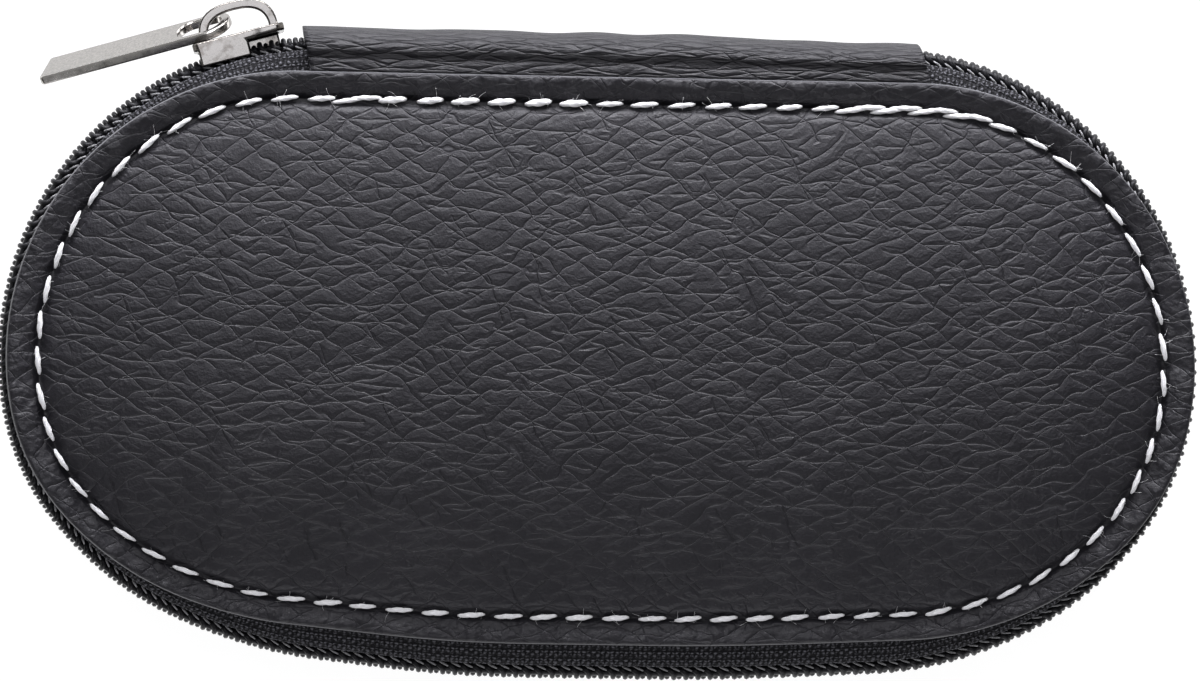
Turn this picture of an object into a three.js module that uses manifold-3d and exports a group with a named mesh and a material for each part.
// Zip-around manicure set case, lying closed on its back panel.
//
// X runs along the case, +Y points to the spine that the lid turns about, and Z is up.
// The origin is the middle of the flat of the back panel, where the case rests.
// All lengths are millimetres.
//
// The case is two padded panels. A zip joins them round the left end, the front side
// and the right end, and a leather strip joins them along the spine.
// Each half is described by its heights above the middle plane, where the two rows of
// coil meet, so that base and lid come from the same functions.

import * as THREE from 'three';
import { mergeVertices } from 'three/addons/utils/BufferGeometryUtils.js';
import Module from 'manifold-3d';

const wasm = await Module();
wasm.setup();

// Driving sizes of the case

const panelHalfLength = 58;
const panelHalfWidth = 27.8;
const zipBeyondEnd = 1.3;
const zipBeyondSide = 3.9;
const seamHeight = 7.5;
const crownRise = 3;
const fitGap = 0.3;
const sewnGap = 0.15;

// Layers of a panel

const skinThickness = 0.9;
const boardThickness = 1.1;
const liningThickness = 0.6;
const rimRounding = 0.35;
const grooveDepth = 0.4;
const stitchInset = 2.8;
const grooveHalfWidth = 0.8;
const crownRun = 11;
const boardInset = 4;
const liningInset = 1.2;

// Stitching round a panel

const stitchPitch = 3.5;
const stitchLength = 2.6;
const threadThickness = 0.7;
const threadHidden = 0.3;

// Zip

const tapeThickness = 0.7;
const tapeTuck = 3.1;
const coilThickness = 1.5;
const coilReach = 2.1;
const coilParting = 0.35;
const coilChamfer = 0.35;
const zipEndTuck = 2.8;
const heldLength = 15.5;
const heldParting = 1.2;

// Spine

const spineLapLeft = 1.4;
const spineLapRight = 4;
const spineThickness = 0.8;
const spineLiningThickness = 0.5;
const spineLiningGap = 0.8;
const spineLiningRise = 1.05;
const hingeClearance = 0.15;

// Elastic tool loops

const bandThickness = 0.8;
const bandWidth = 11;
const bandTackLength = 3;
const baseLoopWidths = [15, 12, 12, 12, 15];
const lidLoopWidths = [18, 14, 18];
const loopRise = 2.4;
const bandEndLength = 4;
const tackLength = 1.2;
const tackThickness = 0.3;
const tackInset = 1;

// Slider

const sliderAlong = 8.465;
const sliderLength = 9.2;
const sliderPlateThickness = 0.8;
const sliderRearHalfWidth = 3.1;
const sliderShoulderHalfWidth = 3.7;
const flangeThickness = 0.7;
const flangeLength = 5;
const dividerThickness = 0.4;
const dividerLength = 3.2;
const dividerInset = 0.7;
const bailLength = 7.9;
const bailHeight = 3.3;
const bailBand = 0.9;
const bailWidth = 1;
const bailOffset = 0.2;
const bailSink = 0.3;

// Pull

const pullLength = 20;
const pullWidth = 5;
const pullThickness = 0.9;
const pullSlotLength = 4.6;
const pullSlotWidth = 3.5;
const pullEyeRound = 2.2;
const pullSlotRound = 1.1;
const pullEyeBack = 0.8;
const pullEyeLift = 1.35;
const pullEyeRise = 0.15;
const pullDroop = 19;
const pullLean = 22;
const pullCorner = 0.25;

// Places worked out from the sizes

const midHeight = seamHeight + crownRise;
const zipHalfLength = panelHalfLength + zipBeyondEnd;
const zipHalfWidth = panelHalfWidth + zipBeyondSide;
const panel = { halfLength: panelHalfLength, halfWidth: panelHalfWidth };
const zipLine = { halfLength: zipHalfLength, halfWidth: zipHalfWidth };
const zipCentre = zipHalfLength - zipHalfWidth;
const spineLeft = zipCentre + spineLapLeft;
const spineRight = zipCentre + spineLapRight;
const spineLiningHalfLength = zipCentre - zipEndTuck - spineLiningGap;
const heldTurn = THREE.MathUtils.radToDeg(heldLength / zipHalfWidth);
const sliderTurn = sliderAlong / zipHalfWidth;
const rimUnderside = seamHeight - skinThickness;
const tapeTop = rimUnderside - fitGap;
const boardTop = rimUnderside - fitGap;
const boardUnderside = boardTop - boardThickness;
const liningTop = boardUnderside - fitGap;
const liningUnderside = liningTop - liningThickness;
const tapeInset = coilThickness + sewnGap;
const spineInside = zipHalfWidth + fitGap;
const hingeLine = spineInside + spineThickness + hingeClearance;
const innerSeat = panelHalfWidth - liningInset;
const liningSeat = liningUnderside - sewnGap;
const slopeStart = sliderShoulderHalfWidth + fitGap;

const degrees = THREE.MathUtils.degToRad;

// Materials

function finish(color, roughness, metalness = 0) {
  return new THREE.MeshStandardMaterial({ color, roughness, metalness });
}

const leather = finish('#434346', 0.6);
const foamStuff = finish('#3a3a3d', 0.95);
const boardStuff = finish('#8d8473', 0.9);
const velour = finish('#1f1f22', 0.95);
const whiteThread = finish('#e4e2da', 0.8);
const wovenTape = finish('#1c1c1f', 0.9);
const nylon = finish('#17171a', 0.45);
const elastic = finish('#1a1a1d', 0.85);
const blackThread = finish('#101012', 0.8);
const nickel = finish('#c9c4bc', 0.25, 1);

// Stations round the oval outline

const arcSteps = 20;
const straightSteps = 4;

function arcStations(centreShare, from, to, steps) {
  const stations = [];
  for (let i = 0; i <= steps; i++) {
    stations.push({ centreShare, turn: degrees(from + (to - from) * i / steps) });
  }
  return stations;
}

function straightStations(fromShare, toShare, turn, steps) {
  const stations = [];
  for (let i = 0; i <= steps; i++) {
    const centreShare = fromShare + (toShare - fromShare) * i / steps;
    stations.push({ centreShare, turn: degrees(turn) });
  }
  return stations;
}

function wholeOutline() {
  return [
    ...arcStations(-1, 90, 270, arcSteps),
    ...straightStations(-1, 1, 270, straightSteps).slice(1, -1),
    ...arcStations(1, -90, 90, arcSteps),
    ...straightStations(1, -1, 90, straightSteps).slice(1, -1),
  ];
}

const endShare = 1 - zipEndTuck / zipCentre;
const leftRoot = straightStations(-endShare, -1, 90, 1).slice(0, -1);
const rightRoot = straightStations(1, endShare, 90, 1).slice(1);
const heldSteps = Math.ceil(heldTurn * arcSteps / 180);

function zipStations(fromTurn) {
  return [
    ...(fromTurn > 0 ? [] : leftRoot),
    ...arcStations(-1, 90 + fromTurn, 270, arcSteps),
    ...straightStations(-1, 1, 270, straightSteps).slice(1, -1),
    ...arcStations(1, -90, 90, arcSteps),
    ...rightRoot,
  ];
}

function heldStations(toTurn) {
  return [...leftRoot, ...arcStations(-1, 90, 90 + toTurn, heldSteps)];
}

function ovalPoint(line, height, station) {
  const { centreShare, turn } = station;
  const straight = line.halfLength - line.halfWidth;
  const x = centreShare * straight + line.halfWidth * Math.cos(turn);
  return new THREE.Vector3(x, line.halfWidth * Math.sin(turn), height);
}

function inset(line, distance) {
  return {
    halfLength: line.halfLength - distance,
    halfWidth: line.halfWidth - distance,
  };
}

function between(first, second, share) {
  return {
    halfLength: THREE.MathUtils.lerp(first.halfLength, second.halfLength, share),
    halfWidth: THREE.MathUtils.lerp(first.halfWidth, second.halfWidth, share),
  };
}

// Closed skins over a row of loops that all have the same number of points

function loopNormal(loop) {
  const normal = new THREE.Vector3();
  for (let i = 0; i < loop.length; i++) {
    const next = loop[(i + 1) % loop.length];
    normal.add(new THREE.Vector3().crossVectors(loop[i], next));
  }
  return normal.normalize();
}

function capTriangles(loop, first) {
  const normal = loopNormal(loop);
  const across = new THREE.Vector3().subVectors(loop[1], loop[0]).normalize();
  const along = new THREE.Vector3().crossVectors(normal, across);
  const flat = loop.map((p) => new THREE.Vector2(p.dot(across), p.dot(along)));
  const triangles = THREE.ShapeUtils.triangulateShape(flat, []);
  const found = [];
  for (const [a, b, c] of triangles) {
    const ab = new THREE.Vector2().subVectors(flat[b], flat[a]);
    const ac = new THREE.Vector2().subVectors(flat[c], flat[a]);
    const facesUp = ab.cross(ac) > 0;
    found.push(facesUp === first ? [a, c, b] : [a, b, c]);
  }
  return found;
}

// Rungs from one long side of an even loop to the other close it without loose points
function ladderTriangles(count, start, first) {
  const found = [];
  for (let k = 0; k < count / 2; k++) {
    const a = (start + k) % count;
    const b = (start + k + 1) % count;
    const c = (start - k - 1 + count) % count;
    const d = (start - k + count) % count;
    const rungs = [[a, b, c], [a, c, d]].filter((t) => new Set(t).size === 3);
    found.push(...rungs.map(([p, q, r]) => (first ? [p, r, q] : [p, q, r])));
  }
  return found;
}

function signedVolume(points, triangles) {
  let sum = 0;
  for (const [a, b, c] of triangles) {
    sum += points[a].dot(new THREE.Vector3().crossVectors(points[b], points[c]));
  }
  return sum / 6;
}

function skinOver(loops, closed, ladderStart = null) {
  const count = loops[0].length;
  const cap = (loop, first) => (ladderStart === null
    ? capTriangles(loop, first)
    : ladderTriangles(count, ladderStart, first));
  const points = loops.flat();
  const triangles = [];
  const joins = closed ? loops.length : loops.length - 1;
  for (let i = 0; i < joins; i++) {
    const here = i * count;
    const there = ((i + 1) % loops.length) * count;
    for (let j = 0; j < count; j++) {
      const next = (j + 1) % count;
      triangles.push([here + j, here + next, there + next]);
      triangles.push([here + j, there + next, there + j]);
    }
  }
  if (!closed) {
    const last = (loops.length - 1) * count;
    triangles.push(...cap(loops[0], true));
    for (const corners of cap(loops[loops.length - 1], false)) {
      triangles.push(corners.map((k) => k + last));
    }
  }
  if (signedVolume(points, triangles) < 0) {
    for (const corners of triangles) {
      corners.reverse();
    }
  }
  const geometry = new THREE.BufferGeometry();
  const numbers = points.flatMap((p) => [p.x, p.y, p.z]);
  geometry.setAttribute('position', new THREE.Float32BufferAttribute(numbers, 3));
  geometry.setIndex(triangles.flat());
  geometry.computeVertexNormals();
  return geometry;
}

// A plate is a stack of oval rings, closed by a flat at each end
function plate(rings, side) {
  const stations = wholeOutline();
  return skinOver(rings.map(({ line, height }) => stations.map(
    (station) => ovalPoint(line, side * height, station))), false, arcSteps / 2);
}

// A band is one closed section carried along the stations
function band(section, side, stations, closed) {
  return skinOver(stations.map((station) => section.map(
    ({ line, height }) => ovalPoint(line, side * height, station))), closed);
}

function ring(line, height) {
  return { line, height };
}

// Padded panel

function crownHeight(share) {
  return seamHeight + crownRise * Math.sin(Math.PI / 2 * share) ** crownFullness;
}

const crownFullness = 0.8;
const crownShares = [0.12, 0.28, 0.46, 0.66, 0.84, 1];

function coverOutside() {
  const crownStart = stitchInset + grooveHalfWidth;
  return [
    ring(panel, seamHeight - rimRounding),
    ring(inset(panel, rimRounding), seamHeight),
    ring(inset(panel, stitchInset - grooveHalfWidth), seamHeight),
    ring(inset(panel, stitchInset), seamHeight - grooveDepth),
    ring(inset(panel, crownStart), seamHeight),
    ...crownShares.map((share) => ring(
      inset(panel, crownStart + crownRun * share), crownHeight(share))),
  ];
}

function coverInside(drop) {
  const crownStart = boardInset + skinThickness;
  return crownShares.map((share) => ring(
    inset(panel, crownStart + crownRun * share), crownHeight(share) - drop)).reverse();
}

function cover(side) {
  return plate([
    ...coverInside(skinThickness),
    ring(inset(panel, boardInset), rimUnderside),
    ring(panel, rimUnderside),
    ...coverOutside(),
  ], side);
}

function padding(side) {
  const floor = rimUnderside;
  const top = coverInside(skinThickness + fitGap).filter((r) => r.height > floor + fitGap);
  return plate([
    ring(inset(panel, boardInset + skinThickness + crownRun), floor),
    ring(inset(top[top.length - 1].line, -fitGap), floor),
    ...top.reverse(),
  ], side);
}

function board(side) {
  return plate([
    ring(inset(panel, boardInset), boardUnderside),
    ring(inset(panel, boardInset), boardTop),
  ], side);
}

function lining(side) {
  return plate([
    ring(inset(panel, liningInset), liningUnderside),
    ring(inset(panel, liningInset), liningTop),
  ], side);
}

// A row of stitches is one thread: it stands proud for a stitch, then dips to its hole
const raisedShare = stitchLength / stitchPitch;
const outsideStitchShares = [[0, 0], [0.25, 1], [0.75, 1], [1, 0]];
const insideStitchShares = [[0, 0], [0.5, 1]];

function stitching(seat, direction, side, stitchShares) {
  const line = inset(panel, stitchInset);
  const length = 4 * (line.halfLength - line.halfWidth) + 2 * Math.PI * line.halfWidth;
  const count = Math.round(length / stitchPitch);
  const loops = [];
  for (let i = 0; i < count; i++) {
    for (const [share, proud] of stitchShares) {
      const station = stationAt(line, length * (i + raisedShare * share) / count);
      const depth = THREE.MathUtils.lerp(threadHidden, threadThickness, proud);
      loops.push([[-depth / 2, 0], [depth / 2, 0], [0, depth]].map(
        ([offset, lift]) => ovalPoint(
          inset(line, offset), side * (seat + direction * lift), station)));
    }
  }
  return skinOver(loops, true);
}

function stationAt(line, distance) {
  const straight = 2 * (line.halfLength - line.halfWidth);
  const arc = Math.PI * line.halfWidth;
  if (distance < arc) {
    return { centreShare: -1, turn: Math.PI / 2 + distance / line.halfWidth };
  }
  if (distance < arc + straight) {
    const share = (distance - arc) / straight;
    return { centreShare: 2 * share - 1, turn: 1.5 * Math.PI };
  }
  if (distance < 2 * arc + straight) {
    const turned = (distance - arc - straight) / line.halfWidth;
    return { centreShare: 1, turn: turned - Math.PI / 2 };
  }
  const share = (distance - 2 * arc - straight) / straight;
  return { centreShare: 1 - 2 * share, turn: Math.PI / 2 };
}

// Zip: woven tape sewn under the rim of a panel, with a row of coil on its edge

function tapeSection(reachShare) {
  const outer = inset(zipLine, tapeInset);
  const inner = inset(zipLine, tapeInset + tapeThickness);
  const rim = inset(panel, fitGap);
  const rimInside = inset(panel, fitGap + tapeThickness);
  const rimBelow = tapeTop - tapeThickness;
  const slopeTop = THREE.MathUtils.lerp(slopeStart, tapeTop, reachShare);
  const slopeBelow = THREE.MathUtils.lerp(slopeStart, rimBelow, reachShare);
  const section = [
    ring(inner, coilParting),
    ring(outer, coilParting),
    ring(outer, slopeStart),
    ring(between(outer, rim, reachShare), slopeTop),
  ];
  if (reachShare === 1) {
    section.push(ring(inset(panel, fitGap + tapeTuck), tapeTop));
    section.push(ring(inset(panel, fitGap + tapeTuck), rimBelow));
  }
  section.push(ring(between(inner, rimInside, reachShare), slopeBelow));
  section.push(ring(inner, slopeStart));
  return section;
}

function coilSection() {
  const inside = inset(zipLine, coilThickness);
  return [
    ring(inside, coilParting),
    ring(inset(zipLine, coilChamfer), coilParting),
    ring(zipLine, coilParting + coilChamfer),
    ring(zipLine, coilReach - coilChamfer),
    ring(inset(zipLine, coilChamfer), coilReach),
    ring(inside, coilReach),
  ];
}

const heldTapeReachShare = 0.7;

// Strips along the spine are one closed outline in Y and height, carried along X
function straightStrip(outline, side, from, to) {
  const loop = (x) => outline.map(([y, height]) => new THREE.Vector3(x, y, side * height));
  return skinOver([loop(from), loop(to)], false);
}

const bulgeShares = [[0, 0], [0.28, 0.03], [0.55, 0.18], [0.78, 0.46], [0.93, 0.78], [1, 1]];

function spineLeaf(side) {
  const rimSide = panelHalfWidth + fitGap;
  const top = seamHeight - rimRounding;
  const outside = bulgeShares.map(([up, inward]) => [
    THREE.MathUtils.lerp(spineInside + spineThickness, rimSide, inward),
    THREE.MathUtils.lerp(hingeClearance, top, up),
  ]);
  const inside = bulgeShares.map(([up, inward]) => [
    THREE.MathUtils.lerp(spineInside, rimSide, inward),
    THREE.MathUtils.lerp(hingeClearance, top - spineThickness, up),
  ]);
  return straightStrip([...outside, ...inside.reverse()], side, -spineLeft, spineRight);
}

function spineLining(side) {
  const outer = zipHalfWidth - tapeInset - tapeThickness - fitGap;
  const seat = innerSeat + fitGap + spineLiningThickness;
  const top = liningTop;
  const turn = top - spineLiningRise;
  return straightStrip([
    [outer, hingeClearance],
    [outer, turn],
    [seat, top],
    [seat - spineLiningThickness, top],
    [outer - spineLiningThickness, turn],
    [outer - spineLiningThickness, hingeClearance],
  ], side, -spineLiningHalfLength, spineLiningHalfLength);
}

// Elastic band tacked to the lining, so that it stands up in loops between the tacks

const loopSteps = 8;
const loopFullness = 0.7;

function bandPlaces(widths) {
  const tacks = widths.length + 1;
  const loops = widths.reduce((sum, width) => sum + width, 0);
  const start = -(loops + tacks * bandTackLength) / 2;
  const places = [];
  let x = start;
  for (const width of widths) {
    x += bandTackLength;
    places.push({ from: x, to: x + width });
    x += width;
  }
  return { start, end: -start, places };
}

function loopBand(widths, side) {
  const { start, end, places } = bandPlaces(widths);
  const path = [[start - bandEndLength, 0]];
  for (const { from, to } of places) {
    for (let i = 0; i <= loopSteps; i++) {
      const lift = loopRise * Math.sin(Math.PI * i / loopSteps) ** loopFullness;
      path.push([from + (to - from) * i / loopSteps, lift]);
    }
  }
  path.push([end + bandEndLength, 0]);
  const loops = path.map(([x, lift]) => [
    [-bandWidth / 2, lift], [bandWidth / 2, lift],
    [bandWidth / 2, lift + bandThickness], [-bandWidth / 2, lift + bandThickness],
  ].map(([y, drop]) => new THREE.Vector3(x, y, side * (liningSeat - drop))));
  return skinOver(loops, false);
}

function tackPlaces(widths) {
  const { start, end, places } = bandPlaces(widths);
  const middles = places.slice(1).map(({ from }) => from - bandTackLength / 2);
  return [start + bandTackLength / 2, ...middles, end - bandTackLength / 2];
}

function tack(x, side) {
  const seat = liningSeat - bandThickness - sewnGap;
  const geometry = new THREE.BoxGeometry(tackLength, bandWidth - 2 * tackInset, tackThickness);
  geometry.translate(x, 0, side * (seat - tackThickness / 2));
  return geometry;
}

// Solid joins and cuts for the slider and the pull

function solid(geometry) {
  const bare = geometry.clone();
  bare.deleteAttribute('normal');
  bare.deleteAttribute('uv');
  const merged = mergeVertices(bare);
  return new wasm.Manifold(new wasm.Mesh({
    numProp: 3,
    vertProperties: new Float32Array(merged.attributes.position.array),
    triVerts: new Uint32Array(merged.index.array),
  }));
}

function geometryOf(manifold) {
  const mesh = manifold.getMesh();
  const geometry = new THREE.BufferGeometry();
  geometry.setAttribute('position', new THREE.BufferAttribute(mesh.vertProperties, 3));
  geometry.setIndex(new THREE.BufferAttribute(mesh.triVerts, 1));
  geometry.computeVertexNormals();
  return geometry;
}

function slab(outline, depth) {
  const shape = new THREE.Shape(outline.map(([x, y]) => new THREE.Vector2(x, y)));
  return new THREE.ExtrudeGeometry(shape, { depth, bevelEnabled: false, steps: 1 });
}

function block(minX, maxX, minY, maxY, minZ, maxZ) {
  const geometry = new THREE.BoxGeometry(maxX - minX, maxY - minY, maxZ - minZ);
  geometry.translate((minX + maxX) / 2, (minY + maxY) / 2, (minZ + maxZ) / 2);
  return geometry;
}

// The slider lies in its own frame: X along the zip, Y out from the case, Z across it

const sliderSagitta = (sliderLength / 2) ** 2 / (2 * zipHalfWidth);
const plateInside = zipHalfWidth + fitGap;
const plateOutside = plateInside + sliderPlateThickness;
const innerPlateOutside = zipHalfWidth - tapeInset - tapeThickness - fitGap - sliderSagitta;
const innerPlateInside = innerPlateOutside - sliderPlateThickness;
const flangeEnd = zipHalfWidth - tapeInset + fitGap;
const flangeInside = coilReach + fitGap;

const plateOutlineShares = [[-1, 0.8], [-0.9, 1], [0.1, 1]];
const shoulderOutlineShares = [[0.45, 1], [0.85, 1], [1, 0.8]];

function sliderPlateOutline() {
  const half = sliderLength / 2;
  const upper = [
    ...plateOutlineShares.map(([x, z]) => [half * x, sliderRearHalfWidth * z]),
    ...shoulderOutlineShares.map(([x, z]) => [half * x, sliderShoulderHalfWidth * z]),
  ];
  const lower = upper.map(([x, z]) => [x, -z]).reverse();
  return [...upper, ...lower];
}

function sliderPlate(from) {
  const geometry = slab(sliderPlateOutline(), sliderPlateThickness);
  geometry.rotateX(Math.PI / 2);
  geometry.translate(0, from + sliderPlateThickness, 0);
  return geometry;
}

const archSteps = 20;
const archSquareness = 2.6;

function archPoints(halfLength, height) {
  const points = [];
  for (let i = 0; i <= archSteps; i++) {
    const turn = Math.PI * i / archSteps;
    const across = Math.abs(Math.cos(turn)) ** (2 / archSquareness) * Math.sign(Math.cos(turn));
    const up = Math.abs(Math.sin(turn)) ** (2 / archSquareness);
    points.push([bailOffset + halfLength * across, height * up]);
  }
  return points;
}

function bail() {
  const outer = archPoints(bailLength / 2, bailHeight);
  const inner = archPoints(bailLength / 2 - bailBand, bailHeight - bailBand);
  const sunkOuter = [[outer[0][0], -bailSink], ...outer, [outer[archSteps][0], -bailSink]];
  const sunkInner = [[inner[0][0], -bailSink], ...inner, [inner[archSteps][0], -bailSink]];
  const geometry = slab([...sunkOuter, ...sunkInner.reverse()], bailWidth);
  geometry.translate(0, plateOutside, -bailWidth / 2);
  return geometry;
}

function slider() {
  const half = sliderLength / 2;
  const rear = -half * Math.abs(plateOutlineShares[1][0]);
  let body = solid(sliderPlate(plateInside));
  body = body.add(solid(sliderPlate(innerPlateInside)));
  for (const side of [-1, 1]) {
    const near = side * flangeInside;
    const far = side * (flangeInside + flangeThickness);
    body = body.add(solid(block(
      rear, rear + flangeLength, flangeEnd, plateInside + sliderPlateThickness / 2,
      Math.min(near, far), Math.max(near, far))));
  }
  body = body.add(solid(block(
    half - dividerInset - dividerLength, half - dividerInset,
    innerPlateInside + sliderPlateThickness / 2, plateInside + sliderPlateThickness / 2,
    -dividerThickness / 2, dividerThickness / 2)));
  body = body.add(solid(bail()));
  return geometryOf(body);
}

// The pull lies in its own frame: X from its eye to its tip, Y across, Z through it.
// Its eye end and both ends of its slot are half ovals.
function pullOutline() {
  const half = pullWidth / 2;
  const tip = pullLength - pullThickness / 2;
  const eyeMiddle = pullEyeRound - pullThickness / 2;
  const shape = new THREE.Shape();
  shape.moveTo(tip - pullCorner, -half);
  shape.lineTo(tip, -half + pullCorner);
  shape.lineTo(tip, half - pullCorner);
  shape.lineTo(tip - pullCorner, half);
  shape.lineTo(eyeMiddle, half);
  shape.absellipse(eyeMiddle, 0, pullEyeRound, half, Math.PI / 2, 1.5 * Math.PI);
  shape.closePath();
  return shape;
}

function pullSlot() {
  const half = pullSlotWidth / 2;
  const near = pullEyeRound - pullThickness / 2;
  const nearRound = pullEyeRound - pullThickness;
  const far = pullThickness / 2 + pullSlotLength - pullSlotRound;
  const slot = new THREE.Path();
  slot.moveTo(near, half);
  slot.absellipse(near, 0, nearRound, half, Math.PI / 2, 1.5 * Math.PI);
  slot.lineTo(far, -half);
  slot.absellipse(far, 0, pullSlotRound, half, -Math.PI / 2, Math.PI / 2);
  slot.closePath();
  return slot;
}

const pullCurveSteps = 8;

function pull() {
  const shape = pullOutline();
  shape.holes.push(pullSlot());
  const body = new THREE.ExtrudeGeometry(shape, {
    depth: pullThickness, bevelEnabled: false, steps: 1, curveSegments: pullCurveSteps,
  });
  body.translate(0, 0, -pullThickness / 2);
  return geometryOf(solid(body));
}

function pullTurn() {
  const droop = degrees(pullDroop);
  const lean = degrees(pullLean);
  const along = new THREE.Vector3(-Math.cos(droop), 0, -Math.sin(droop));
  const upright = new THREE.Vector3(-Math.sin(droop), 0, Math.cos(droop));
  const across = upright.multiplyScalar(Math.cos(lean));
  across.add(new THREE.Vector3(0, -Math.sin(lean), 0));
  const through = new THREE.Vector3().crossVectors(along, across);
  return new THREE.Matrix4().makeBasis(along, across, through);
}

// Assembly

const caseGroup = new THREE.Group();
const middle = new THREE.Group();
middle.position.z = midHeight;
caseGroup.add(middle);

function place(parent, name, geometry, material) {
  const mesh = new THREE.Mesh(geometry, material);
  mesh.name = name;
  parent.add(mesh);
}

const grooveSeat = seamHeight - grooveDepth / 2;

function half(prefix, side, widths, zipFrom) {
  const group = new THREE.Group();
  place(group, `${prefix}_cover`, cover(side), leather);
  place(group, `${prefix}_padding`, padding(side), foamStuff);
  place(group, `${prefix}_board`, board(side), boardStuff);
  place(group, `${prefix}_lining`, lining(side), velour);
  place(group, `${prefix}_seam_thread`, stitching(grooveSeat, 1, side, outsideStitchShares),
    whiteThread);
  place(group, `${prefix}_bobbin_thread`, stitching(liningSeat, -1, side, insideStitchShares),
    blackThread);
  const stations = zipStations(zipFrom);
  place(group, `${prefix}_zip_tape`, band(tapeSection(1), side, stations, false), wovenTape);
  place(group, `${prefix}_zip_coil`, band(coilSection(), side, stations, false), nylon);
  place(group, `${prefix}_spine_leaf`, spineLeaf(side), leather);
  place(group, `${prefix}_spine_lining`, spineLining(side), velour);
  place(group, `${prefix}_tool_loops`, loopBand(widths, side), elastic);
  for (const [i, x] of tackPlaces(widths).entries()) {
    place(group, `${prefix}_loop_tack_${i + 1}`, tack(x, side), blackThread);
  }
  return group;
}

middle.add(half('base', -1, baseLoopWidths, 0));
middle.add(half('lid', 1, lidLoopWidths, heldTurn));

// The end of the upper zip row that the slider holds stays with the base
const held = heldStations(heldTurn - THREE.MathUtils.radToDeg(heldParting / zipHalfWidth));
place(middle, 'held_zip_tape', band(tapeSection(heldTapeReachShare), 1, held, false), wovenTape);
place(middle, 'held_zip_coil', band(coilSection(), 1, held, false), nylon);

const sliderGroup = new THREE.Group();
sliderGroup.position.x = -zipCentre;
sliderGroup.rotation.z = sliderTurn;
middle.add(sliderGroup);
place(sliderGroup, 'slider', slider(), nickel);

const pullGroup = new THREE.Group();
pullGroup.position.set(-pullEyeBack, plateOutside + pullEyeLift, pullEyeRise);
pullGroup.quaternion.setFromRotationMatrix(pullTurn());
sliderGroup.add(pullGroup);
place(pullGroup, 'pull', pull(), nickel);

export default caseGroup;
